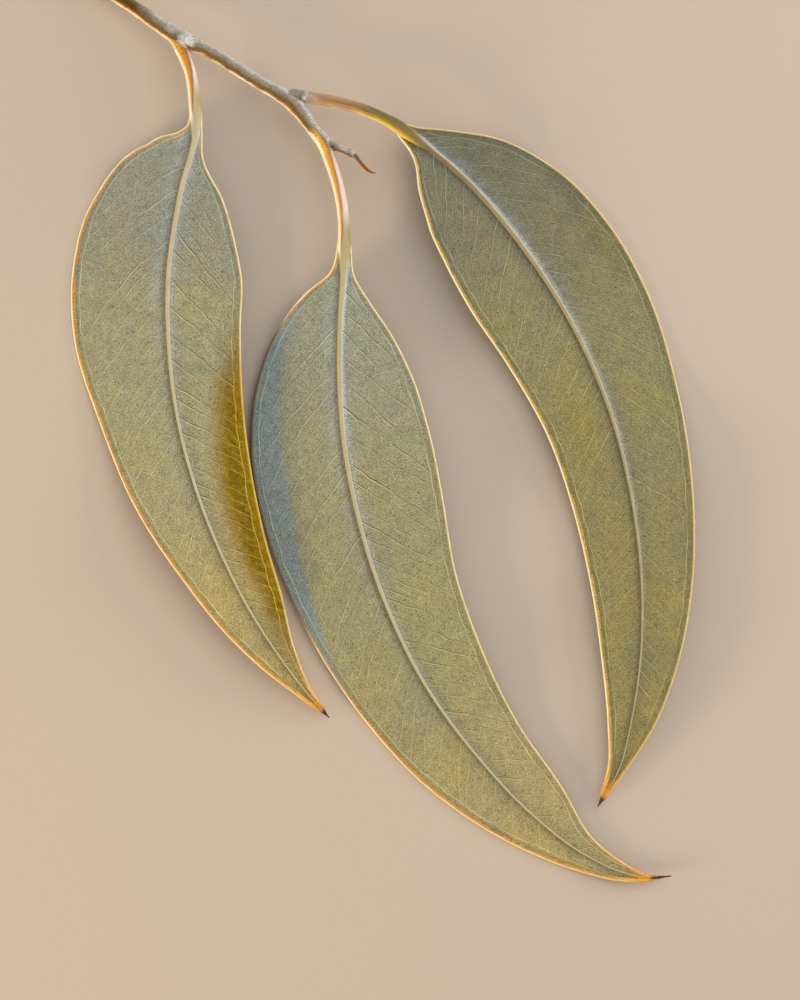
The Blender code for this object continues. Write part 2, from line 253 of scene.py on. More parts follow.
class Leaf:
    """One leaf, read by distance along its rib and distance across from it, both in mm."""

    def __init__(self, name, stations, seed):
        table = np.array(stations, float)
        distance = way_along(table[:, :2])
        self.name, self.seed, self.point = name, seed, DRIED_POINT[name]
        self.foot, self.length = distance[FOOT], distance[-1]
        self.along = np.linspace(0, self.length, 900)
        read = smooth_rows(table, distance, self.along)
        heading = unit(np.gradient(read[:, :2], self.along, axis=0))
        self.lines = np.column_stack((read, heading))
        self.stalk_half = 1.06 * table[FOOT - 1, 3]

    def at(self, along):
        """Every column of the stations at these distances along the rib."""
        return [np.interp(along, self.along, line) for line in self.lines.T]

    def tip_limit(self, along):
        """The widest half width allowed near the tip: 0.14 mm at the end, 0.5 mm where the dried
        point starts, and opening quickly from there."""
        to_end = self.length - along
        limit = 0.14 + 0.36 * np.minimum(to_end / self.point, 1)
        return limit + 0.6 * np.maximum(to_end - self.point, 0)

    def width(self, along, side):
        """The half width on one side: -1 is left and 1 is right. The blade starts narrow, inside
        the stalk, and ends in the dried point."""
        read = self.at(along)
        width = np.maximum(np.where(side < 0, read[3], read[4]), TIP_HALF_WIDTH)
        width = np.minimum(width, self.tip_limit(along))
        return width * (0.4 + 0.6 * step(along, self.foot - 4.5, self.foot - 0.5))
    def inset(self, along, across):
        """How far inside the blade's edge a spot lies."""
        return self.width(along, np.where(across < 0, -1.0, 1.0)) - np.abs(across)
    def thinning(self, along):
        """1 along the blade, falling to a third at the very tip."""
        return np.clip((self.length - along) / 3.5, 0.33, 1)

    def surface(self, along, across):
        """x, y, underside and top. The height is the rib's, plus the lean of that half times the
        distance across, plus a wave that grows with the square of the way to the edge."""
        x, y, z, left, right, lean_left, lean_right, east, north = self.at(along)
        side = np.where(across < 0, -1.0, 1.0)
        width = np.maximum(np.where(across < 0, left, right), TIP_HALF_WIDTH)
        lean = np.where(across < 0, lean_left, lean_right)
        offset = np.abs(across)
        spread = step(along, self.foot - 3, self.foot + 6)
        wave = np.sin(2 * math.pi * along / WAVE_LENGTH + 2 * side)
        wave = WAVE_HEIGHT * spread * wave * (offset / width) ** 2 * np.minimum(1, width / 10)
        middle = z + offset * np.tan(np.radians(lean)) + wave
        under = lie_on_table(middle - 0.5 * BLADE_THICK)
        thick = BLADE_THICK * self.thinning(along)
        return x - north * across, y + east * across, under, under + thick

    def blade_share(self, along):
        """0 at the blade's foot and 1 at its tip."""
        return np.clip((along - self.foot) / (self.length - self.foot), 0, 1)

    def rib(self, along):
        """Half width of the rib and how far it stands out of the blade: a stalk of its own width
        up to the blade, then thinner and lower toward the tip."""
        share = self.blade_share(along)
        left, right = self.at(along)[3:5]
        stalk = np.minimum(0.5 * (left + right), self.stalk_half)
        blade = step(along, self.foot - 2, self.foot + 7)
        half = RIB_HALF_WIDTH[0] + (RIB_HALF_WIDTH[1] - RIB_HALF_WIDTH[0]) * share**0.9
        rise = RIB_HEIGHT[0] + (RIB_HEIGHT[1] - RIB_HEIGHT[0]) * share**0.8
        half = stalk * (1 - blade) + np.minimum(half, stalk) * blade
        height = stalk * (1 - blade) + (0.5 * BLADE_THICK + rise) * blade
        half = np.minimum(half, 0.8 * self.tip_limit(along))
        return half, height * self.thinning(along)


leaves = {name: Leaf(name, rows, 20 + k) for k, (name, rows) in enumerate(LEAVES.items())}
for leaf in leaves.values():
    print(leaf.name, "stalk", round(leaf.foot, 1), "mm, blade", round(leaf.length - leaf.foot, 1))

# %% [markdown]
# ## Making meshes from rings
# A blade, a rib, a vein and a twig are all the same kind of surface: a closed ring carried along a
# line. One function skins such rings. It takes many bands of rings at once, because a leaf has
# hundreds of veins, and it turns the faces outward by the sign of the volume that they close.


# %% Skinning rings
def ring_quads(count, rings, points):
    """Faces between neighbouring rings, and the numbers of each point and of the next one on its
    ring, both as bands x rings x points."""
    here = np.arange(count * rings * points).reshape(count, rings, points)
    after = np.roll(here, -1, axis=2)
    quads = np.stack((here[:, :-1], after[:, :-1], after[:, 1:], here[:, 1:]), axis=-1)
    return quads.reshape(-1, 4), here, after


def skin(name, bands, tints, material, node=None):
    """A closed mesh for each band of rings. bands is bands x rings x points x 3, in mm, and tints
    holds a colour for each point. Both ends are closed by a fan round the middle of their ring."""
    quads, here, after = ring_quads(*bands.shape[:3])
    spots, shades = (
        np.concatenate((rows.reshape(-1, 3), rows[:, (0, -1)].mean(axis=2).reshape(-1, 3)))
        for rows in (bands, tints)
    )
    centre = np.zeros_like(here[:, 0]) + here.size + 2 * np.arange(len(here))[:, None]
    fans = np.concatenate((
        np.stack((centre, after[:, 0], here[:, 0]), axis=-1).reshape(-1, 3),
        np.stack((centre + 1, here[:, -1], after[:, -1]), axis=-1).reshape(-1, 3),
    ))
    a, b, c, d = (spots[quads[:, k]] - spots[0] for k in range(4))
    volume = np.einsum("ij,ij->", a, np.cross(b, c)) + np.einsum("ij,ij->", a, np.cross(c, d))
    if volume < 0:
        quads, fans = quads[:, ::-1], fans[:, ::-1]
    mesh = make_mesh(name, spots, quads, fans)
    paint(mesh, shades)
    return settle(name, mesh, material, node)


def make_mesh(name, spots, quads, fans):
    """A smooth mesh of points, four-sided faces and three-sided faces."""
    mesh = bpy.data.meshes.new(name)
    mesh.vertices.add(len(spots))
    mesh.vertices.foreach_set("co", to_frame(spots).astype(np.float32).ravel())
    corners = np.concatenate((quads.ravel(), fans.ravel())).astype(np.int32)
    sizes = np.repeat((4, 3), (len(quads), len(fans)))
    mesh.loops.add(len(corners))
    mesh.loops.foreach_set("vertex_index", corners)
    mesh.polygons.add(len(sizes))
    mesh.polygons.foreach_set("loop_start", (np.cumsum(sizes) - sizes).astype(np.int32))
    mesh.update(calc_edges=True)
    mesh.validate()
    mesh.shade_smooth()
    return mesh


def paint(mesh, shades):
    """Give a mesh one colour a point."""
    layer = mesh.color_attributes.new("tint", "FLOAT_COLOR", "POINT")
    data = np.column_stack((shades, np.ones(len(shades)))).astype(np.float32)
    layer.data.foreach_set("color", data.ravel())


def add_object(name, data):
    """An object for a mesh, a lamp or a lens, linked into the scene."""
    made = bpy.data.objects.new(name, data)
    bpy.context.scene.collection.objects.link(made)
    return made


def settle(name, mesh, material, node=None):
    """An object for the mesh, which rides on the branch and can stand for a node of the frame."""
    mesh.materials.append(material)
    piece = add_object(name, mesh)
    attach(piece, "root")
    if node:
        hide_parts(node)
    mesh.calc_loop_triangles()
    print(name, len(mesh.loop_triangles), "triangles")
    return piece


# %% [markdown]
# ## Finishes
# A finish is a Principled shader fed by the colour in the mesh, broken up by fine patterns. Its
# sums are plain expressions: a small class wraps a socket, and adding or multiplying two of them
# adds the Math node for it.


# %% Shader sums as expressions
class Value:
    """One output socket of a finish, which can be added, subtracted and multiplied."""

    def __init__(self, finish, socket):
        self.finish, self.socket = finish, socket

    def math(self, operation, first, second):
        return self.finish.node("ShaderNodeMath", {"operation": operation}, {0: first, 1: second})

    def __add__(self, other):
        return self.math("ADD", self, other)

    def __sub__(self, other):
        return self.math("SUBTRACT", self, other)

    def __rsub__(self, other):
        return self.math("SUBTRACT", other, self)

    def __mul__(self, other):
        return self.math("MULTIPLY", self, other)

    def clipped(self, low, high):
        """0 below low and 1 above high, straight between."""
        values = {"Value": self, "From Min": low, "From Max": high}
        return self.finish.node("ShaderNodeMapRange", {"clamp": True}, values, "Result")

    __radd__, __rmul__ = __add__, __mul__


class Finish:
    """A material and the nodes that it is made of."""

    def __init__(self, name, roughness, **constants):
        self.material = bpy.data.materials.new(name)
        self.material.use_nodes = True
        self.tree = self.material.node_tree
        self.shader = self.tree.nodes["Principled BSDF"]
        self.shader.inputs["Roughness"].default_value = roughness
        for socket, value in constants.items():
            self.shader.inputs[socket.replace("_", " ")].default_value = value
        self.place = self.node("ShaderNodeTexCoord", {}, {}, "Object")

    def node(self, kind, settings, values, output=0):
        """Add a node of this kind: its settings first, then a value or a link for each socket."""
        made = self.tree.nodes.new(kind)
        for setting, value in settings.items():
            setattr(made, setting, value)
        for socket, value in values.items():
            if isinstance(value, Value):
                self.tree.links.new(value.socket, made.inputs[socket])
            else:
                made.inputs[socket].default_value = value
        return Value(self, made.outputs[output])

    def tint(self):
        """The colour that the mesh carries."""
        return self.node("ShaderNodeVertexColor", {"layer_name": "tint"}, {}, "Color")

    def noise(self, size_mm, detail=3.0, roughness=0.55):
        """A soft random field whose patches are about this wide."""
        values = {"Vector": self.place, "Scale": 1 / (size_mm * MM), "Detail": detail}
        return self.node("ShaderNodeTexNoise", {}, {**values, "Roughness": roughness})

    def cells(self, size_mm, feature):
        """Distance to the nearest point, or to the nearest edge, of random cells this wide."""
        values = {"Vector": self.place, "Scale": 1 / (size_mm * MM), "Randomness": 1.0}
        return self.node("ShaderNodeTexVoronoi", {"feature": feature}, values, "Distance")

    def scaled(self, tone, factor):
        """A colour made lighter or darker by a number."""
        settings = {"operation": "SCALE"}
        return self.node("ShaderNodeVectorMath", settings, {0: tone, "Scale": factor})

    def set(self, **inputs):
        """Link fields into the shader."""
        for socket, value in inputs.items():
            self.tree.links.new(value.socket, self.shader.inputs[socket.replace("_", " ")])
        return self

    def bump(self, height, depth_mm, strength=1.0):
        """Raise and sink the shading by a height field."""
        values = {"Height": height, "Distance": depth_mm * MM, "Strength": strength}
        return self.set(Normal=self.node("ShaderNodeBump", {}, values))


def grained(name, roughness, specular, noise, darkest, span):
    """A finish whose colour is the mesh's own, made uneven by one noise. Also that noise."""
    made = Finish(name, roughness, Specular_IOR_Level=specular)
    grain = made.noise(*noise)
    made.set(Base_Color=made.scaled(made.tint(), darkest + grain * span))
    return made, grain


print("expressions for shaders are ready")

# %% [markdown]
# ## The waxy blade
# The blade is matt and waxy. Up close it is grainy: pale wax lies over the green in fine grains,
# with tiny dark oil spots, and a net of the finest veins shows through. Each of these is a noise or
# a pattern of cells at its own size, and their shares in the lightness come to about 1.

# %% Blade finish
GRAIN_MM, MOTTLE_MM, PATCH_MM, NET_MM, OIL_MM = 0.16, 0.4, 2.2, 0.5, 1.1
blade = Finish("leaf_blade", 0.58, Specular_IOR_Level=0.16)
grain = blade.noise(GRAIN_MM, 1.0, 0.6).clipped(0.36, 0.64)
mottle = blade.noise(MOTTLE_MM, 1.0, 0.6).clipped(0.32, 0.68)
patches = blade.noise(PATCH_MM, 3.0).clipped(0.3, 0.7)
net = 1 - blade.cells(NET_MM, "DISTANCE_TO_EDGE").clipped(0.0, 0.2)
sparse = blade.noise(1.6, 1.0).clipped(0.42, 0.62)
spots = (1 - blade.cells(OIL_MM, "F1").clipped(0.1, 0.2)) * sparse
light = 0.29 + grain * 0.84 + mottle * 0.22 + patches * 0.16 + net * 0.22
blade.set(Base_Color=blade.scaled(blade.tint(), light * (1 - spots * 0.5)))
blade.bump(grain * 0.5 + net * 0.5 + patches * 0.2 - spots * 0.4, 0.05, 0.6)
print("blade finish:", len(blade.tree.nodes), "nodes")

# %% [markdown]
# ## Smoother parts
# Rib, edge and veins carry less wax than the blade, so they are smoother and catch the light a
# little. One soft noise each keeps them from looking like plastic.

# %% Rib, edge and vein finishes
# Roughness, specular level, size and detail of the noise, darkest tone and the span above it.
rib_finish, rib_grain = grained("leaf_rib", 0.48, 0.4, (0.5, 3.0), 0.82, 0.36)
rib_finish.bump(rib_grain, 0.03, 0.4)
edge_finish, _ = grained("leaf_edge", 0.42, 0.4, (0.7, 2.0), 0.8, 0.4)
vein_finish, _ = grained("leaf_vein", 0.5, 0.3, (0.8, 2.0), 0.75, 0.5)
print("rib finish:", len(rib_finish.tree.nodes), "nodes")

# %% [markdown]
# ## Bark and dried tip
# The bark is powdery: a bloom of white wax that weather has rubbed into specks, with soft streaks
# below it. The dried tip is rough and has no wax, so that one coarse noise is enough.

# %% Bark and dried tip finishes
bark = Finish("bark", 0.75, Specular_IOR_Level=0.25)
powder = bark.noise(0.34, 4.0, 0.65).clipped(0.25, 0.75)
streaks = bark.noise(1.1, 3.0)
speck = bark.noise(0.26, 2.0, 0.7).clipped(0.38, 0.62)
bark.set(Base_Color=bark.scaled(bark.tint(), 0.3 + powder * 0.5 + streaks * 0.36 + speck * 0.56))
bark.bump(powder * 0.6 + streaks * 0.5, 0.08, 0.8)
dry, dry_grain = grained("dry_tip", 0.8, 0.2, (0.35, 4.0, 0.65), 0.6, 0.8)
dry.bump(dry_grain, 0.08, 0.8)
print("bark finish:", len(bark.tree.nodes), "nodes")

# %% [markdown]
# ## Tones of the blades
# The colour follows the leaf: grey green at the foot, warmer toward the tip, blue-white wax beside
# the rib, a dull strip inside the edge and gold right at it. Large soft patches break this up, as
# on a leaf that has weathered unevenly.

# %% Tones of each leaf
# Foot, middle and tip of the blade, and then the rib.
TONES = {
    "leaf_left": colours((143, 145, 130), (160, 155, 120), (180, 161, 104), (194, 182, 146)),
    "leaf_middle": colours((149, 151, 130), (154, 149, 110), (172, 157, 110), (184, 172, 130)),
    "leaf_right": colours((111, 110, 90), (138, 131, 92), (147, 135, 86), (150, 136, 90)),
}
# The stalk where the blade begins.
CORES = dict(zip(LEAVES, colours((202, 184, 150), (190, 168, 112), (120, 98, 34))))
# Wax on the left of the rib; on its right, wax with a painted highlight fading out from it; and
# the painted highlight line along the rib's right side.
WAX_AMOUNTS = {
    "leaf_left": (0.5, 0.36, 0.35),
    "leaf_middle": (0.42, 0.3, 0.85),
    "leaf_right": (0.0, 0.4, 0.62),
}
# Blue-grey wax, and the near-white of the painted highlight along the rib.
WAX, RIB_LINE_HIGHLIGHT = colours((160, 170, 174), (204, 210, 210))
# The edge's near-white is a painted glow of the low sun through it, over its own orange and gold.
RIM_GLOW, RIM_IN, GOLDEN_RIM = colours((255, 249, 206), (212, 150, 52), (204, 164, 72))
# Painted light shining through the left leaf: olive, deep and bright; painted shade on the middle
# leaf: slate.
OLIVE, DEEP_OLIVE, BRIGHT_OLIVE = colours((136, 111, 0), (98, 80, 0), (190, 152, 8))
SHADE_SLATE, GOLDEN_PATCH = colours((137, 149, 147), (152, 136, 66))
TIP_GOLD, TIP_BROWN = colours((214, 150, 50), (84, 34, 14))
# Factors of the warm and cool patches, large and fine, of the painted shade round the rib and the
# painted shadow on its left, and of the darker strip inside the edge.
WARM, COOL = (1.06, 1.03, 0.86), (0.9, 0.94, 1.02)
FINE_WARM, FINE_COOL = (1.08, 1.03, 0.84), (0.88, 0.93, 0.98)
RIB_NEAR_SHADE, RIB_LEFT_SHADOW, EDGE_DARKER = (0.8, 0.8, 0.82), (0.58, 0.6, 0.66), (0.9, 0.91, 0.92)


def tip_tint(leaf, along, tint):
    """Toward its tip the leaf turns gold, and its last few mm are dried and dark brown."""
    to_end = leaf.length - along
    tint = mix(tint, TIP_GOLD, 0.85 * step(to_end, leaf.point + 5.0, leaf.point + 0.6))
    return mix(tint, TIP_BROWN, step(to_end, leaf.point + 0.5, leaf.point - 0.4))


def wax_tint(leaf, share, along, across, tint):
    """Beside the rib: painted shade close to it, ragged blue-grey wax, a painted highlight line on
    its right side and a painted shadow line on its left side."""
    left = across < 0
    beside = np.clip(np.abs(across) - leaf.rib(along)[0], 0, None)
    ragged = np.clip(0.5 + 0.9 * cloud(along, across, 3.5, leaf.seed + 60), 0, 1)
    left_wax, right_wax, bright = WAX_AMOUNTS[leaf.name]
    low = step(share, 0.25, 0.55) if leaf.name != "leaf_right" else 0.8
    # Painted shade close to the rib.
    tint = shaded(tint, RIB_NEAR_SHADE, low * bell(beside, 0, 1.9))
    # Wax on both sides; on the right it also stands for a painted highlight fading out from the
    # rib.
    powder = np.where(left, left_wax * bell(beside, 1.6, 1.3), right_wax * bell(beside, 0, 1.9))
    tint = mix(tint, WAX, powder * (0.25 + 0.75 * ragged) * step(share, 0.75, 0.1))
    # A painted highlight along the rib's right side.
    line = bell(beside, 0.0, 0.24) * (across > 0) * step(share, 0.95, 0.25)
    tint = mix(tint, RIB_LINE_HIGHLIGHT, bright * line)
    # A painted shadow along the rib's left side.
    deep = (0.65 + 0.5 * bell(share, 0.4, 0.25)) * bell(beside, 0.15, 0.5) * left
    return shaded(tint, RIB_LEFT_SHADOW, deep)


def blade_tint(leaf, along, across):
    """Colour of the blade: three tones along it, then patches, wax, a dark line inside the edge,
    and gold at the tip. At its foot it takes the stalk's colour. Light and shade are painted in
    too:
    by the rib, as a glow inside the left edge, and as a lighter left half on the right leaf."""
    share, inset = leaf.blade_share(along), leaf.inset(along, across)
    left, right_leaf = across < 0, leaf.name == "leaf_right"
    patch = cloud(along, across, 22, leaf.seed)
    fine = cloud(along, across, 5, leaf.seed + 50)
    flecks = cloud(along, across, 1.5, leaf.seed + 51, 14)
    foot, middle, tip, _ = TONES[leaf.name]
    tint = mix(mix(foot, middle, step(share, 0.05, 0.45)), tip, step(share, 0.45, 0.9))
    # Painted light: the right leaf's left half is lighter, most of all near its foot.
    if right_leaf:
        tint = tint * np.where(left, 1.2 - 0.18 * step(share, 0.1, 0.6), 1)[..., None]
    tint = shaded(tint, WARM, step(patch, 0.1, 1.3) * step(share, 0.05, 0.3))
    tint = shaded(tint, COOL, step(-patch, 0.1, 1.1))
    if right_leaf:
        tint = mix(tint, GOLDEN_PATCH, 0.55 * bell(share, 0.47, 0.07) * bell(across, -6.5, 4.0))
    tint = shaded(tint, FINE_WARM, 0.6 * step(fine, 0.1, 1.3) * step(share, 0.1, 0.3))
    tint = shaded(tint, FINE_COOL, 0.7 * step(-fine, 0.2, 1.3))
    tint = tint * (1 + 0.035 * fine + 0.08 * flecks)[..., None]
    tint = wax_tint(leaf, share, along, across, tint)
    tint = shaded(tint, EDGE_DARKER, step(inset, 2.0, 1.2))
    tint = shaded(tint, 0.8, bell(inset, 0.9, 0.25) * np.where(left, 1, 0.6))
    # Painted glow: the edge's own orange, or gold on the right leaf, shows inside the left edge
    # only, toward the low sun.
    inner = step(inset, 0.8, 0.6) * left * step(fine, -1.0, 0.0)
    tint = mix(tint, GOLDEN_RIM if right_leaf else RIM_IN, 0.9 * inner)
    tint = mix(tint, TIP_GOLD, 0.8 * step(inset, 0.9, 0.25) * step(share, 0.82, 0.97))
    foot_fade = step(along, leaf.foot - 0.5, leaf.foot + 2.5 + np.abs(across))
    return tip_tint(leaf, along, mix(CORES[leaf.name], tint, foot_fade))


print("tones for", len(TONES), "leaves")

# %% [markdown]
# ## Blades
# Two strips stand out in the picture, and both are light and shade painted into the blade's colour.
# The sun shines through the left leaf's right side and makes it olive, and the middle leaf's left
# side is slate, where it lies in the shade of its neighbour.
# The blade itself is one closed surface: each ring runs over the top from the left edge to the
# right one and back along the underside.


# %% Strips and blades
MARGIN = 0.24


def light_and_shade_strips(leaf, along, across, tint):
    """The olive strip, painted light that shines through the leaf, and the slate one, the painted
    shade of the neighbouring leaf. Each has a width in mm that swells and shrinks along the leaf,
    and a soft inner side."""
    share, inset = leaf.blade_share(along), leaf.inset(along, across)
    blur = 0.8 * cloud(along, across, 6, leaf.seed + 70)
    if leaf.name == "leaf_left":
        fine = cloud(along, across, 1.6, leaf.seed + 71, 14)
        wide = 6.9 * bell(share, 0.6, 0.27) + 0.6 * blur + 0.5 * fine
        amount = step(inset, wide + 2.6, wide - 2.6) * (across > 0)
        amount = amount * step(share, 0.24, 0.48) * step(share, 0.97, 0.8)
        olive = mix(OLIVE, BRIGHT_OLIVE, 0.35 * fine)
        olive = mix(olive, DEEP_OLIVE, 0.45 * bell(inset, 3.2, 1.8) - 0.45 * fine)
        return mix(tint, olive, amount)
    if leaf.name == "leaf_middle":
        wide = 6.4 * bell(share, 0.28, 0.2) + 0.2 * blur
        amount = step(inset, wide + 0.9, wide - 0.9) * (across < 0)
        return mix(tint, SHADE_SLATE, 0.9 * amount * step(share, 0.05, 0.12) * step(share, 0.6, 0.42))
    return tint


def make_blade(leaf, rings=330, half_columns=30):
    """The blade ends a little inside the leaf's outline, which the golden edge then fills. Its
    rings are closer at both ends, and its columns at the edges."""
    share = np.linspace(0, 1, rings)
    share = share - 0.06 * np.sin(2 * math.pi * share)
    along = leaf.foot - 4 + share * (leaf.length - 0.1 - leaf.foot + 4)
    part = np.sin(np.linspace(0, 0.5 * math.pi, half_columns)) * 0.5
    part = part + np.linspace(0, 0.5, half_columns)
    part = np.concatenate((-part[:0:-1], part))
    along, part = np.meshgrid(along, part, indexing="ij")
    across = part * np.maximum(leaf.width(along, part) - MARGIN, 0.03)
    x, y, under, top = leaf.surface(along, across)
    upper, lower = np.stack((x, y, top), axis=-1), np.stack((x, y, under), axis=-1)
    tint = light_and_shade_strips(leaf, along, across, blade_tint(leaf, along, across))
    ring = np.concatenate((upper, lower[:, ::-1]), axis=1)
    shade = np.concatenate((tint, tint[:, ::-1]), axis=1)
    return skin(leaf.name + "_blade", ring[None], shade[None], blade.material, leaf.name)


for leaf in leaves.values():
    make_blade(leaf)


# %% [markdown]
# ## Stalk and rib
# The stalk runs on into the blade as its rib, so they are one long tube: an ellipse that starts as
# a round stalk, sinks into the blade and fades toward the tip. The stalks are orange on the side
# that catches the sun and pink-white on the other, which is mostly painted light on their own
# colour.


# %% Stalks and ribs
# Bright rim, orange beside it, orange at the line, the thin dark line, the pale side at its start.
# The bright rim is a painted glow of the low sun, and the orange mostly painted light.
STALK_TONES = {
    "leaf_left": colours(
        (255, 250, 212), (232, 164, 50), (176, 96, 16), (140, 74, 24), (226, 212, 206)
    ),
    "leaf_middle": colours(
        (255, 250, 212), (238, 178, 60), (192, 118, 22), (146, 88, 40), (228, 208, 194)
    ),
}
# Where the dark line lies across the stalk: at the blade's foot, and its move for each mm before.
LINE_PLACE = {"leaf_left": (-0.6, 0.11), "leaf_middle": (-0.45, 0.046)}
# The right leaf's stalk from its lower side (-1) to its upper one (1): at its start, at the blade.
# The bright stops at the lower side are a painted glow of the low sun.
RIGHT_STALK = (
    ((-1, 220, 184, 136), (-0.75, 196, 152, 96), (-0.4, 174, 134, 88), (0.1, 162, 124, 84),
     (0.6, 182, 138, 102), (0.85, 194, 142, 98), (1, 214, 150, 92)),
    ((-1, 255, 238, 150), (-0.8, 244, 202, 76), (-0.5, 186, 146, 28), (-0.15, 134, 108, 26),
     (0.3, 110, 98, 46), (0.7, 106, 102, 68), (1, 164, 142, 96)),
)
RIGHT_ROOT, OLIVE_CORE, GREY_CORE = colours((184, 164, 148), (160, 146, 82), (158, 158, 142))
RIB_START, RIB_END = colours((124, 104, 58), (192, 178, 128))
# The rib's painted highlight on its right side, and its painted shade on the left.
RIB_TUBE_HIGHLIGHT, RIB_TUBE_SHADE = colours((206, 206, 196), (104, 98, 78))


def right_stalk_tint(leaf, before, right, grain):
    """The right leaf's stalk: two rows of stops across it, blended on the way to the blade, with
    dark folds along it."""
    near = step(before, 15, 6)
    tint = mix(ramp(right, RIGHT_STALK[0]), ramp(right, RIGHT_STALK[1]), near)
    tint = mix(tint, RIGHT_ROOT, 0.75 * step(before, leaf.foot - 2.8, leaf.foot - 0.2))
    dark = bell(right, 0.05, 0.22) * bell(before, 13, 5)
    fold = cloud(0.22 * before, 3.4 * right, 1.1, 41, 6) * step(before, 2, 7)
    tint = shaded(tint, (0.62, 0.58, 0.56), np.maximum(dark, step(fold, 0.35, 0.9)))
    return shaded(tint, 1.14, step(-fold, 0.3, 0.9)) * (1 + 0.1 * grain)[..., None]


def stalk_tint(leaf, before, right):
    """Colour of a stalk. before is the distance to the blade's foot in mm, right goes from -1 on
    its left side to 1 on its right one. The orange narrows and the pale side warms on the way."""
    grain = cloud(0.3 * before, 2.4 * right, 1.0, leaf.seed + 33, 12)
    if leaf.name == "leaf_right":
        return right_stalk_tint(leaf, before, right, grain)
    rim, light_orange, deep_orange, dark, pale = STALK_TONES[leaf.name]
    at_foot, slope = LINE_PLACE[leaf.name]
    line = at_foot + slope * before
    away = step(before, -1, 2.5)
    core = 0.9 * step(right, 0.1, 0.55) * bell(before, 4.5, 3.5)
    core = mix(mix(CORES[leaf.name], OLIVE_CORE, core), GREY_CORE, 0.6 * bell(right, -0.05, 0.35))
    pale = mix(core, pale, step(before, 3, 9))
    orange = mix(light_orange, deep_orange, step(right, -0.6, line))
    tint = mix(pale, orange, step(line - right, -0.04, 0.12) * away)
    tint = mix(tint, dark, 0.85 * bell(right, line, 0.1) * away)
    tint = mix(tint, rim, step(-right, 0.5, 0.68) * step(before, -2.0, 0.5))
    tint = mix(tint, pale * 1.1, 0.5 * step(right, 0.75, 0.95))
    return tint * (1 + 0.06 * grain)[..., None]


def rib_tint(leaf, along, turn):
    """Colour of stalk and rib. turn is the angle round the tube: 0 faces right, a quarter up. The
    rib's right side carries a painted highlight and its left side painted shade.
    """
    share, before = leaf.blade_share(along), leaf.foot - along
    right = np.cos(turn) + 0.0 * along
    rib = mix(TONES[leaf.name][3], RIB_END, 0.7 * share)
    if leaf.name == "leaf_right":
        rib = mix(RIB_START, rib, step(share, 0.02, 0.2))
    # Painted highlight on the right side of the rib, painted shade on its left.
    rib = mix(rib, RIB_TUBE_HIGHLIGHT, step(right, 0.35, 0.85) * (0.85 - 0.5 * share))
    rib = mix(rib, RIB_TUBE_SHADE, 0.85 * step(-right, 0.55, 0.9))
    rib = rib * (1 + 0.07 * cloud(along, 3 * right, 5, leaf.seed + 30))[..., None]
    tint = mix(rib, stalk_tint(leaf, before, right), step(before, -5, 0.5))
    return tip_tint(leaf, along, tint)


def make_rib(leaf, rings=420, points=28, overlap=0.9):
    """The tube round the rib's line. Its ring is an ellipse: the rib's half width across, and the
    rib's half height up and down. It starts a little inside the twig."""
    along = np.linspace(-overlap, leaf.length, rings)
    inside = np.clip(along, 0, None)
    x, y, z, _, _, _, _, east, north = leaf.at(inside)
    _, _, under, top = leaf.surface(inside, np.zeros(rings))
    z = z + (0.5 * (under + top) - z) * step(inside, leaf.foot - 2, leaf.foot + 3)
    back = along - inside
    x, y = x + east * back, y + north * back
    half, height = leaf.rib(inside)
    turn = turns(points)
    across = half[:, None] * np.cos(turn)
    lifted = np.maximum(z[:, None] + height[:, None] * np.sin(turn), 0.02)
    sideways = (x[:, None] - north[:, None] * across, y[:, None] + east[:, None] * across)
    ring = np.stack((*sideways, lifted), axis=-1)
    tint = rib_tint(leaf, inside[:, None] + 0 * turn, turn[None] + 0 * inside[:, None])
    return skin(leaf.name + "_rib", ring[None], tint[None], rib_finish.material)


for leaf in leaves.values():
    make_rib(leaf)


# %% [markdown]
# ## Golden edges
# A eucalyptus blade has a thickened, translucent edge that shines gold against the light, and that
# shine is painted into its colour. It is a thin bead that runs down one side of the blade, round
# the tip and back up the other.


# %% Edge beads
# The edge's gold; the dimmer painted-shade tone of edges away from the low sun, also laid in uneven
# patches; the tip's gold.
RIM_GOLD, RIM_DIMMER, RIM_TIP = colours((250, 212, 126), (226, 190, 124), (238, 176, 72))
INNER_DARK, INNER_PALE = colours((158, 108, 44), (200, 170, 112))
RIGHT_INNER = colours((200, 172, 66), (140, 118, 36))
# Outside and inside of the edge: beside the olive strip, in the painted light that shines through,
# and beside the slate one, in painted shade.
SUNNY_EDGE = colours((232, 196, 96), (190, 148, 20))
SHADED_EDGE = colours((132, 108, 76), (104, 92, 70))


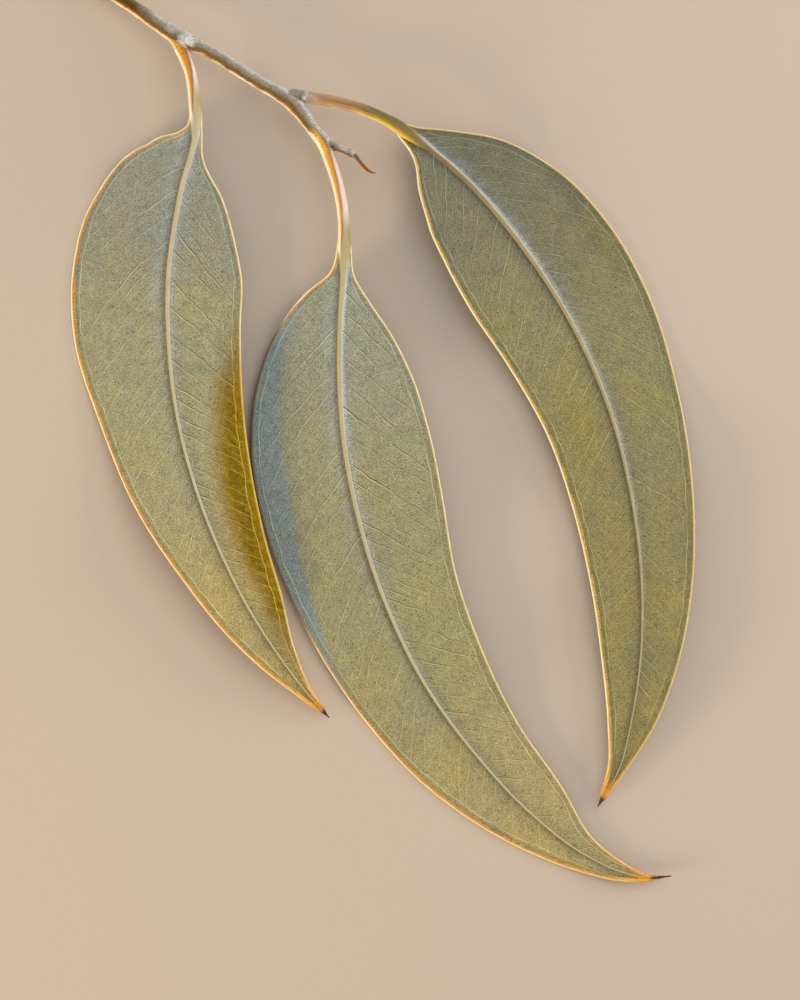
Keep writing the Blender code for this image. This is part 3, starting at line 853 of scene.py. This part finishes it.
def rim_tint(leaf, along, side, turn):
    """Colour of the edge. turn is the angle round the bead: 0 faces outward. The edge is orange and
    gold of its own; on the side toward the low sun a painted glow makes it bright cream outside and
    orange, in uneven patches, inside, and the side away from it is painted dimmer and paler."""
    share, name, right = leaf.blade_share(along), leaf.name, side > 0
    uneven = cloud(along, 9 * side, 3.0, leaf.seed + 80)
    # Painted shade: the edges on the right side, away from the low sun, are dimmer.
    dull = 0.0 if side < 0 else 0.7 if name == "leaf_right" else 0.2
    rim = mix(RIM_GLOW, RIM_GOLD, 0.6 * step(share, 0.3, 0.7) * (name != "leaf_right"))
    rim = mix(rim, RIM_DIMMER, dull + 0.15 * step(uneven, 0, 1))
    inner = mix(RIM_IN, INNER_DARK, 0.7 * step(uneven, 0.0, 0.9))
    if name == "leaf_right":
        inner = mix(*RIGHT_INNER, step(uneven, -0.3, 0.8))
    # Painted shade: inside, the right side is paler, away from the low sun.
    inner = mix(inner, INNER_PALE, 0.9 * right)
    if name == "leaf_left" and right:
        beside = step(share, 0.3, 0.45) * step(share, 0.9, 0.7)
        rim, inner = mix(rim, SUNNY_EDGE[0], beside), mix(inner, SUNNY_EDGE[1], beside)
    if name == "leaf_middle" and not right:
        beside = step(share, 0.06, 0.12) * step(share, 0.5, 0.42)
        rim, inner = mix(rim, SHADED_EDGE[0], beside), mix(inner, SHADED_EDGE[1], beside)
    facing = np.cos(turn) + 0.2 * uneven[:, None]
    tone = mix(inner[:, None], rim[:, None], step(facing, 0.35 * right - 0.1, 0.3 + 0.25 * right))
    golden = 0.6 * step(share, 0.84, 0.97)[:, None] + 0 * turn
    return tip_tint(leaf, along[:, None] + 0 * turn, mix(tone, RIM_TIP, golden))


def make_edge(leaf, rings=380, points=12):
    """One bead a side: an upright ellipse carried along the line of the edge."""
    bands, tints, turn = [], [], turns(points)
    along = np.linspace(leaf.foot - 4, leaf.length - 0.1, rings)
    for side in (-1.0, 1.0):
        width = leaf.width(along, side)
        half = (MARGIN + (0.07 if side < 0 else 0.02)) * np.minimum(1, width / 0.5)
        tall = (0.5 * BLADE_THICK + 0.05) * leaf.thinning(along)
        x, y, under, top = leaf.surface(along, side * np.maximum(width - MARGIN, 0.03))
        line = np.stack((x, y, np.maximum(0.5 * (under + top), tall)), axis=-1)
        outward = unit(-side * np.cross(np.gradient(line, axis=0), UP))
        ring = line[:, None] + half[:, None, None] * outward[:, None] * np.cos(turn)[:, None]
        ring[:, :, 2] += side * tall[:, None] * np.sin(turn)
        bands.append(ring)
        tints.append(rim_tint(leaf, along, side, turn))
    bands, tints = np.array(bands), np.array(tints)
    return skin(leaf.name + "_edge", bands, tints, edge_finish.material)


for leaf in leaves.values():
    make_edge(leaf)


# %% [markdown]
# ## Side veins
# From the rib, side veins run out and forward at about 45 degrees, with fainter ones between them.
# They end on a vein that follows the edge about a millimetre and a half inside it, in shallow arcs.
# A seeded draw gives each its own place, so that no two veins are alike and every run is the same.


# %% Lines of the veins
VEIN_GAP = (2.8, 6.4)
VEIN_RADIUS = 0.125
OUTER_RADIUS = 0.11
OUTER_INSET = 1.5
BARE_TIP = 9
# Size of each kink, and the least and most length of its wave.
KINKS = ((0.18, 5.0, 9.0), (0.08, 2.0, 3.6), (0.04, 0.9, 1.5))


def edge_inset(leaf, along, side):
    """How far inside the edge the outer vein runs, with shallow uneven arcs."""
    swing = np.abs(np.sin(math.pi * along / 6.4 + side + 0.9 * np.sin(along / 9.0)))
    inset = OUTER_INSET + 0.22 * swing + 0.25 * cloud(along, side * 5, 14, leaf.seed + 90)
    return np.minimum(inset, 0.35 * leaf.width(along, side))


def side_vein(leaf, draw, start, side, begin, reach, radius, samples):
    """One vein: across grows evenly from the rib to the outer vein, along grows by the cotangent of
    an angle that closes from about 50 to 38 degrees, with small kinks."""
    part = np.linspace(begin, reach, samples)
    room = leaf.width(np.full(samples, start), side)
    angle = np.radians(draw.uniform(45, 53) - draw.uniform(6, 13) * part)
    for _ in range(3):
        across = part * room
        forward = np.cumsum(np.diff(across) / np.tan(0.5 * (angle[1:] + angle[:-1])))
        along = np.minimum(start + np.concatenate(([0.0], forward)), leaf.length - 1.0)
        room = leaf.width(along, side) - edge_inset(leaf, along, side)
    kink = np.zeros(samples)
    for size, least, most in KINKS:
        kink += size * np.sin(2 * math.pi * across / draw.uniform(least, most) + draw.uniform(0, 6))
    along = along + kink * np.minimum(1, across / 3)
    return along, side * across, radius * (1 - 0.45 * np.linspace(0, 1, samples))


def leaf_veins(leaf, samples=34):
    """The veins of one leaf in three sets: the main side veins, the same with the outer veins along
    the edges, and the faint ones between the side veins, with forks."""
    draw = np.random.default_rng(leaf.seed)
    plain, outer, faint = [], [], []
    for side in (-1.0, 1.0):
        start = leaf.foot + 2.0
        while start < leaf.length - BARE_TIP:
            share = float(leaf.blade_share(start))
            gap = draw.uniform(*VEIN_GAP) * (1 - 0.3 * share)
            size = VEIN_RADIUS * (1 - 0.4 * share) * draw.uniform(0.6, 1.2)
            reach = 0.99 if draw.uniform() < 0.7 else draw.uniform(0.6, 0.9)
            plain.append(side_vein(leaf, draw, start, side, 0.02, reach, size, samples))
            middle = start + gap * draw.uniform(0.3, 0.7)
            reach = draw.uniform(0.25, 0.97)
            faint.append(side_vein(leaf, draw, middle, side, 0.03, reach, 0.6 * size, samples))
            begin = draw.uniform(0.35, 0.65)
            fork = start + gap * draw.uniform(0.9, 1.5) * begin * 2
            if fork < leaf.length - BARE_TIP and draw.uniform() < 0.7:
                faint.append(side_vein(leaf, draw, fork, side, begin, 0.99, 0.6 * size, samples))
            start += gap
        ends = np.linspace(leaf.foot + 2.5, leaf.length - 3.0, 7)
        for low, high in zip(ends[:-1], ends[1:]):
            along = np.linspace(low - 0.3, high + 0.3, samples)
            across = leaf.width(along, side) - edge_inset(leaf, along, side)
            outer.append((along, side * across, np.full(samples, OUTER_RADIUS)))
    return [[np.array(part) for part in zip(*lines)] for lines in (plain, plain + outer, faint)]


for leaf in leaves.values():
    leaf.sides, leaf.plain, leaf.faint = leaf_veins(leaf)
    print(leaf.name, len(leaf.plain[0]), "plain veins and", len(leaf.faint[0]), "faint ones")

# %% [markdown]
# ## Veins as tubes
# Each vein is a thin tube, flattened and half sunk in the blade. All are made in one go, as bands
# of rings, and again on the underside. Where the sun comes from the side, a raised vein throws a
# thin shadow, and that shadow is painted: a dark tube half sunk into the blade beside each main
# vein.

# %% Vein tubes
# Pale veins, the dark tone of their painted shadows, and the yellow of veins in the olive strip.
VEIN_TONE, VEIN_SHADOW_TONE, YELLOW_VEIN = colours((204, 196, 150), (54, 56, 38), (204, 170, 44))
VEIN_SHADOW_BACK = 0.3
LIFT = np.array((0.56, 0.53, 0.34))
# How clearly veins show as pale lines on the left and right half, and how dark their painted
# shadows are there.
VEIN_LOOK = {
    "leaf_left": (0.9, 1.0, 0.2, 1.0),
    "leaf_middle": (0.9, 0.9, 0.35, 1.0),
    "leaf_right": (0.95, 0.8, 0.3, 0.3),
}


def make_veins(name, leaf, lines, lift, blend, points=4, flat=0.62):
    """Tubes on one face of the blade: rings of an ellipse that is flatter than it is wide. Their
    colour is the blade's own there, made lighter and blended toward one tone. The painted vein
    shadows are blended toward a dark shadow tone instead."""
    along, across, radius = lines
    vein_shadows = name == "vein_shadows"
    x, y, under, top = leaf.surface(along, across)
    height = top - 0.3 * radius * vein_shadows
    if name == "back_veins":
        height = np.maximum(under, flat * radius)
    line = np.stack((x, y, height), axis=-1)
    outward = unit(np.cross(unit(np.gradient(line, axis=1)), UP))
    turn = turns(points)[:, None]
    rings = outward[:, :, None] * np.cos(turn) + flat * UP * np.sin(turn)
    rings = line[:, :, None] + radius[..., None, None] * rings
    own = light_and_shade_strips(leaf, along, across, blade_tint(leaf, along, across))
    look = VEIN_LOOK[leaf.name][2 * vein_shadows :]
    uneven = np.clip(1 + 0.7 * cloud(along, across, 9, leaf.seed + 95), 0.1, 2)
    uneven = uneven * np.where(across < 0, look[0], look[1])
    own = own * (1 + uneven[..., None] * lift)
    # The olive strip, found by its missing blue: veins there glow yellow, painted light shining
    # through.
    strip = step(own[..., 2], 0.05, 0.01)
    # Painted shadow: a dark tube where a raised vein would throw its shadow.
    if vein_shadows:
        fade = (1 - 0.7 * strip) * (1 - 0.5 * leaf.blade_share(along))
        own = mix(own, VEIN_SHADOW_TONE, blend * uneven * fade)
    else:
        own = mix(mix(own, VEIN_TONE, blend * uneven), YELLOW_VEIN, 0.6 * strip)
    tints = np.repeat(own[:, :, None], points, axis=2)
    return skin(f"{leaf.name}_{name}", rings, tints, vein_finish.material)


for leaf in leaves.values():
    make_veins("veins", leaf, leaf.plain, LIFT, 0.1, points=6)
    make_veins("fine_veins", leaf, leaf.faint, 0.5 * LIFT, 0.05)
    along, across, radius = leaf.sides
    # The painted shadows of the main veins, set back from them.
    make_veins("vein_shadows", leaf, (along - VEIN_SHADOW_BACK, across, 1.5 * radius), 0, 0.6)
    make_veins("back_veins", leaf, leaf.plain, LIFT, 0.2)

# %% [markdown]
# ## The twig
# Young eucalyptus wood is smooth, olive and brown, swollen at each node and dusted with white wax.
# It is drawn by its middle line and the radius along it. A short seat for each leaf starts inside
# the twig and ends where the stalk begins.

# %% Lines of the twig, in mm
# x, y, z and radius. The seats: of the left leaf, its lower side, the right leaf, and the stub.
TWIG = (
    (-66.7, 107.2, 1.9, 1.4),
    (-60.4, 103.2, 2.7, 1.32),
    (-54.1, 99.1, 3.9, 1.3),
    (-49.2, 95.8, 4.9, 1.5),
    (-46.4, 93.9, 5.4, 1.68),
    (-44.0, 92.5, 5.8, 1.85),
    (-41.9, 91.2, 6.0, 1.62),
    (-39.4, 90.15, 6.1, 1.42),
    (-35.4, 87.95, 6.3, 1.38),
    (-31.35, 85.35, 6.5, 1.4),
    (-27.35, 82.85, 6.6, 1.38),
    (-23.35, 80.6, 6.8, 1.58),
    (-20.8, 78.65, 6.8, 1.75),
    (-19.0, 76.25, 6.8, 1.45),
    (-17.0, 73.55, 6.7, 1.34),
    (-15.2, 71.3, 6.6, 1.5),
    (-14.5, 69.5, 6.5, 1.36),
    (-14.25, 68.7, 6.5, 1.24),
)
SEATS = (
    ((-44.3, 92.2, 5.9, 1.5), (-43.4, 89.4, 6.4, 1.3), (-43.0, 88.4, 6.6, 1.16)),
    (
        (-45.9, 93.1, 5.5, 1.0), (-44.5, 91.2, 6.0, 1.05), (-43.5, 89.3, 6.4, 0.95),
        (-43.1, 88.5, 6.6, 0.8),
    ),
    ((-21.9, 80.6, 6.8, 1.4), (-19.4, 80.45, 7.0, 1.3), (-18.4, 80.25, 7.1, 1.24)),
    (
        (-15.2, 71.6, 6.6, 1.1), (-12.2, 70.2, 7.1, 0.82), (-10.0, 69.2, 7.6, 0.7),
        (-9.1, 68.6, 7.7, 0.66),
    ),
)
SHOOT_TIP = (
    (-9.6, 68.95, 7.68, 0.5),
    (-8.9, 68.4, 7.7, 0.58),
    (-8.1, 67.4, 7.7, 0.44),
    (-7.3, 66.4, 7.9, 0.42),
    (-6.3, 65.5, 8.1, 0.32),
    (-5.5, 65.1, 8.3, 0.17),
    (-4.8, 65.0, 8.6, 0.06),
)
CUT_SLANT_DEG = 25.0


def tube_rings(points, rings, sides):
    """Rings square to a smooth line through the points, with the radius read along it."""
    table = np.array(points, float)
    distance = way_along(table[:, :3])
    read = smooth_rows(table, distance, np.linspace(0, distance[-1], rings))
    forward = unit(np.gradient(read[:, :3], axis=0))
    level = unit(np.cross(forward, UP))
    up = np.cross(level, forward)
    turn = turns(sides)[:, None]
    out = level[:, None] * np.cos(turn) + up[:, None] * np.sin(turn)
    return read[:, None, :3] + read[:, 3][:, None, None] * out, read, out


print("twig of", len(TWIG), "points and", len(SEATS), "seats")

# %% [markdown]
# ## One grown piece
# On the real branch a stalk flows out of the wood without a seam. So the tubes are joined, and a
# voxel remesh lays one new skin round all of them. A little smoothing then rounds the corners where
# they meet. The upper end is sheared first, as if cut with one slanting snip.


# %% Joined and remeshed twig
VOXEL_MM = 0.15
CUT_BLEND_MM = 5.0
twig_start, twig_inner = np.array(TWIG[0][:3]), np.array(TWIG[1][:3])
twig_axis = unit(twig_inner - twig_start)


def slant_cut(rings):
    """Shear the first rings of the twig so that its end is a plain slanting face."""
    lean = math.tan(math.radians(CUT_SLANT_DEG))
    depth = (rings - twig_start) @ twig_axis
    slide = (rings - twig_start) @ np.cross(twig_axis, UP) * lean + 1.0
    return rings + twig_axis * (slide * np.clip(1 - depth / CUT_BLEND_MM, 0, 1))[..., None]


def join_tubes():
    """One loose mesh of all the tubes of the twig, ready for the remesh."""
    spots, faces, start = [], [], 0
    for number, points in enumerate((TWIG, *SEATS)):
        rings = tube_rings(points, 160 if number == 0 else 30, 24)[0]
        rings = slant_cut(rings) if number == 0 else rings
        quads, here, _ = ring_quads(1, *rings.shape[:2])
        faces += (start + quads[:, (0, 3, 2, 1)]).tolist()
        faces += [(start + here[0, 0]).tolist(), (start + here[0, -1, ::-1]).tolist()]
        spots.append(rings.reshape(-1, 3))
        start += here.size
    mesh = bpy.data.meshes.new("twig_tubes")
    mesh.from_pydata(to_frame(np.concatenate(spots)).tolist(), [], faces)
    return mesh


tubes = add_object("twig_tubes", join_tubes())
remesh = tubes.modifiers.new("remesh", "REMESH")
remesh.mode = "VOXEL"
remesh.voxel_size = VOXEL_MM * MM
relax = tubes.modifiers.new("relax", "SMOOTH")
relax.iterations = 8
relax.factor = 0.6
graph = bpy.context.evaluated_depsgraph_get()
twig_mesh = bpy.data.meshes.new_from_object(tubes.evaluated_get(graph))
bpy.data.objects.remove(tubes, do_unlink=True)
print("twig mesh:", len(twig_mesh.vertices), "points")

# %% [markdown]
# ## Bark
# The twig is olive at the cut end and grey with wax further on, with a sunlit flank. Its tones are
# rows of stops across it, chosen by how far each spot faces to the upper right, so the glow of the
# low sun on the lower left and a highlight on the upper right are painted in. Each seat takes on
# the colours of the stalk that grows from it. Small bumps are added along the surface's normals.


# %% Bark: bumps and wax
def nearest_on(line, spots):
    """For each spot, the nearest point of a line: its share of the way, from 0 to 1, the point
    itself, and the line's heading there as seen from above."""
    best, pick = np.full(len(spots), 1e9), np.zeros(len(spots), int)
    for k, knot in enumerate(line):
        far = ((spots - knot) ** 2).sum(axis=1)
        pick[far < best] = k
        best = np.minimum(far, best)
    heading = unit(np.gradient(line[:, :2], axis=0))
    return pick / (len(line) - 1), line[pick], heading[pick]


# Across the twig, from its lower left flank (-1) to its upper right one (1). The cream at the lower
# left is a painted glow of the low sun, and the lighter upper right is wax and a painted highlight.
END_TONES = (
    (-0.9, 255, 238, 190), (-0.78, 236, 186, 110), (-0.62, 160, 106, 40), (-0.45, 110, 70, 14),
    (-0.2, 86, 62, 10), (0.1, 80, 64, 12), (0.4, 96, 82, 28), (0.7, 108, 94, 42),
    (1.0, 128, 114, 70),
)
WOOD_TONES = (
    (-0.93, 255, 242, 204), (-0.82, 214, 160, 84), (-0.7, 142, 100, 40), (-0.5, 114, 84, 36),
    (-0.25, 116, 98, 66), (0.0, 140, 128, 108), (0.35, 152, 145, 133), (0.6, 184, 179, 172),
    (1.0, 200, 193, 184),
)
FLANK_TONES = (
    (-0.9, 255, 244, 206), (-0.72, 244, 190, 96), (-0.5, 206, 132, 34), (-0.15, 160, 94, 26),
    (0.12, 120, 84, 46), (0.3, 150, 140, 130), (0.6, 192, 188, 184), (1.0, 202, 196, 190),
)
# x, y and reach in mm, amount, and the colour of single marks on the bark.
MARKS = (
    (-43.0, 91.6, 1.5, 0.8, (214, 212, 208)),
    (-41.9, 91.2, 1.3, 0.8, (222, 222, 220)),
    (-18.8, 79.8, 0.9, 0.85, (216, 210, 200)),
    (-11.2, 69.9, 1.3, 0.6, (200, 200, 200)),
    (-8.8, 68.6, 1.3, 0.6, (196, 196, 198)),
    (-22.6, 82.2, 1.0, 0.5, (206, 204, 200)),
    (-45.6, 94.2, 1.4, 0.5, (196, 194, 190)),
    (-20.9, 81.9, 0.9, 0.7, (104, 92, 84)),
    (-19.6, 81.3, 0.6, 0.6, (112, 98, 88)),
    (-19.9, 79.9, 0.5, 0.6, (108, 98, 90)),
    (-13.4, 70.4, 0.45, 0.9, (64, 54, 48)),
    (-46.6, 92.7, 0.6, 0.6, (92, 66, 34)),
    (-44.6, 92.1, 0.5, 0.5, (110, 90, 64)),
)


def bark_tint(spots, share, across, aside):
    """The tones across the twig: olive at the cut end, grey with wax further on, and a wide orange
    flank where a stalk begins, with a painted glow on the lower left and a painted highlight on the
    upper right. Specks of wax and of bare bark break them up."""
    patch = cloud(spots[:, 0], spots[:, 1] + spots[:, 2], 3.2, 301)
    fine = cloud(spots[:, 0] - spots[:, 2], spots[:, 1], 0.9, 302)
    way = across + 0.07 * patch + 0.05 * fine
    tint = mix(ramp(way, END_TONES), ramp(way, WOOD_TONES), step(share + 0.02 * patch, 0.25, 0.32))
    flank = bell(share, 0.395, 0.02) + step(share, 0.9, 0.98)
    tint = mix(tint, ramp(way, FLANK_TONES), flank * step(aside, 1.75, 1.4))
    specks = step(fine + 0.3 * patch, 0.4, 1.0) * step(way, -0.3, 0.1) * step(share, 0.25, 0.32)
    tint = mix(tint, BARE_BARK, 0.6 * specks)
    for x, y, reach, amount, tone in MARKS:
        far = np.hypot(spots[:, 0] - x, spots[:, 1] - y) / reach + 0.12 * fine
        tint = mix(tint, colour(*tone), amount * step(far, 1.3, 0.2) * step(way, -0.6, -0.2))
    return tint


BARE_BARK, CUT_WOOD = colours((96, 90, 80), (206, 184, 136))
# The line along which each stalk grows out of the twig, and the fold that parts it from the wax: a
# point on it, and the direction in which the wax lies.
ROOTS = {
    "leaf_left": (
        (
            (-47.0, 93.4, 5.3), (-45.9, 92.4, 5.6), (-44.7, 91.0, 6.0), (-43.6, 89.4, 6.4),
            (-42.9, 88.1, 6.6),
        ),
        (-46.4, 92.3), (0.545, 0.838),
    ),
    "leaf_middle": (
        ((-17.6, 75.0, 6.7), (-15.9, 72.3, 6.6), (-14.6, 69.8, 6.5), (-14.2, 68.4, 6.5)),
        (-16.6, 73.4), (0.84, 0.543),
    ),
}


def blend_seats(tint, spots, normals):
    """Each seat takes on the colours of the stalk that grows from it, up to the fold."""
    for name, (knots, fold, beyond) in ROOTS.items():
        leaf, knots = leaves[name], np.array(knots)
        steps = way_along(knots)
        read = np.linspace(0, steps[-1], 60)
        line = np.stack([np.interp(read, steps, column) for column in knots.T], axis=-1)
        share, here, heading = nearest_on(line, spots)
        to_right = np.column_stack((-heading[:, 1], heading[:, 0], np.zeros(len(spots))))
        offset = ((spots - here) * to_right).sum(axis=1) / 1.2
        right = np.clip(0.5 * offset + 0.5 * (normals * to_right).sum(axis=1), -1, 1)
        aside = np.linalg.norm(spots - here, axis=1)
        past = (spots[:, :2] - fold) @ np.array(beyond)
        amount = step(aside, 2.4, 1.7) * step(share, 0.02, 0.4) * step(past, 0.35, -0.1)
        amount = np.maximum(amount, step(aside, 1.7, 1.4) * step(share, 0.8, 1.0))
        before = leaf.foot + (1 - share) * steps[-1]
        tint = mix(tint, stalk_tint(leaf, before, right), amount)
    return tint


def read_points(collection, field):
    """One vector for each point of a mesh, as rows of three numbers."""
    values = np.empty(len(collection) * 3, np.float32)
    collection.foreach_get(field, values)
    return values.reshape(-1, 3).astype(float)


def finish_twig(mesh):
    """Raise bumps along the normals by a mix of soft patches, and colour every point."""
    spots = read_points(mesh.vertices, "co") / MM - SKETCH_TO_FRAME
    normals = read_points(mesh.vertex_normals, "vector")
    share, here, heading = nearest_on(tube_rings(TWIG, 200, 6)[1][:, :3], spots)
    across = -heading[:, 1] * normals[:, 0] + heading[:, 0] * normals[:, 1]
    aside = np.linalg.norm(spots - here, axis=1)
    tint = blend_seats(bark_tint(spots, share, across, aside), spots, normals)
    tint = mix(tint, CUT_WOOD, step(normals @ -twig_axis, 0.75, 0.85) * (share < 0.05))
    bumps = 0.03 * cloud(spots[:, 0] + spots[:, 2], spots[:, 1], 1.1, 305)
    bumps += 0.05 * cloud(spots[:, 0], spots[:, 1] - spots[:, 2], 3.5, 306)
    spots = to_frame(spots + normals * bumps[:, None])
    mesh.vertices.foreach_set("co", spots.astype(np.float32).ravel())
    paint(mesh, tint)
    mesh.update()
    mesh.shade_smooth()


finish_twig(twig_mesh)
settle("twig_bark", twig_mesh, bark.material, "twig")


# %% [markdown]
# ## The dried shoot tip
# The end of the side stub has dried to a thin brown hook. It is a tapering tube with a few
# lengthwise folds, darker on its upper side.


# %% Shoot tip
# Grey start, brown middle and dark end; the sunlit lower side and the waxy upper one.
TIP_GREY, TIP_MIDDLE, TIP_DARK = colours((104, 92, 86), (132, 76, 36), (94, 50, 28))
TIP_SUNNY, TIP_WAXY = colours((222, 160, 88), (176, 164, 158))


def make_shoot_tip(rings=70, sides=22):
    """A tapering tube whose radius swings round it, so that it looks shrunken into folds."""
    rows, read, out = tube_rings(SHOOT_TIP, rings, sides)
    turn, way = turns(sides), np.linspace(0, 1, rings)[:, None]
    fold = 0.12 * np.sin(3 * turn + 5 * way) + 0.07 * np.sin(5 * turn - 8 * way)
    rows = rows + out * (read[:, 3][:, None] * fold * step(way, 0.0, 0.25))[..., None]
    right = -np.cos(turn) + 0 * way
    tint = mix(TIP_GREY, TIP_MIDDLE, step(way, 0.3, 0.55) + 0 * turn)
    tint = mix(tint, TIP_DARK, step(way, 0.75, 0.95) + 0 * turn)
    tint = mix(tint, TIP_SUNNY, 0.85 * step(-right, 0.45, 0.85))
    tint = mix(tint, TIP_WAXY, 0.6 * step(right, 0.5, 0.9) * step(way, 0.5, 0.2))
    return skin("shoot_tip_dried", rows[None], tint[None], dry.material, "shoot_tip")


make_shoot_tip()

# %% [markdown]
# ## Table
# The table is a plain pale sheet, dull enough to show no glare, so that nothing draws the eye away
# from the branch.

# %% Table
TABLE_TONE = colour(200, 184, 168)
floor_finish = Finish("table", 0.9, Specular_IOR_Level=0.2)
floor_finish.shader.inputs["Base Color"].default_value = (*TABLE_TONE, 1.0)
bpy.ops.mesh.primitive_plane_add(size=6.0, location=(0, 0, 0))
table = bpy.context.object
table.name = "table"
table.data.materials.append(floor_finish.material)
print("table", table.dimensions.x, "m wide")

# %% [markdown]
# ## Light
# A large soft lamp hangs over the upper right, as in the picture, and gives the soft shadows. A low
# warm one at the lower left makes the golden edges shine, and a weaker pale one opposite lights the
# edges that face right. The sky fills in the rest.


# %% Lamps and sky
# Name, place and size in mm, power in watts and colour. Each lamp faces the middle of the table.
LAMPS = (
    ("soft_key", (330, 300, 740), 760, 2.9, (0.96, 0.98, 1.0)),
    ("warm_low", (-520, -330, 190), 200, 2.6, (1.0, 0.8, 0.55)),
    ("pale_low", (540, 200, 200), 240, 1.5, (1.0, 0.93, 0.82)),
)
SKY_TONE, SKY_STRENGTH = (1.0, 0.98, 0.95, 1.0), 0.5

for name, place_mm, size_mm, power, tone in LAMPS:
    light = bpy.data.lights.new(name, "AREA")
    light.size = size_mm * MM
    light.energy = power
    light.color = tone
    lamp = add_object(name, light)
    lamp.location = Vector(place_mm) * MM
    lamp.rotation_mode = "QUATERNION"
    lamp.rotation_quaternion = (-Vector(place_mm)).normalized().to_track_quat("-Z", "Y")
world = bpy.data.worlds.new("studio")
world.use_nodes = True
sky = world.node_tree.nodes["Background"]
sky.inputs["Color"].default_value = SKY_TONE
sky.inputs["Strength"].default_value = SKY_STRENGTH
bpy.context.scene.world = world
bpy.context.scene.view_settings.view_transform = "Standard"

# %% [markdown]
# ## Camera
# The camera hangs straight above with a long lens, so that the raised leaves hardly shift against
# the table, and frames 160 by 200 mm of it. Its height follows from the lens: what it frames, times
# focal length over sensor size.

# %% Camera
LENS_MM = 135.0
SENSOR_MM = 36.0
FRAME_TALL_MM = 200.0
MEAN_HEIGHT_MM = 4.5
lens = bpy.data.cameras.new("camera")
lens.lens = LENS_MM
lens.sensor_width = SENSOR_MM
lens.clip_start, lens.clip_end = 0.01, 10
camera = add_object("camera", lens)
away = FRAME_TALL_MM * LENS_MM / SENSOR_MM
camera.location = Vector((*SKETCH_TO_FRAME[:2], MEAN_HEIGHT_MM + away)) * MM
bpy.context.scene.camera = camera
print("camera", round(away), "mm above the branch")
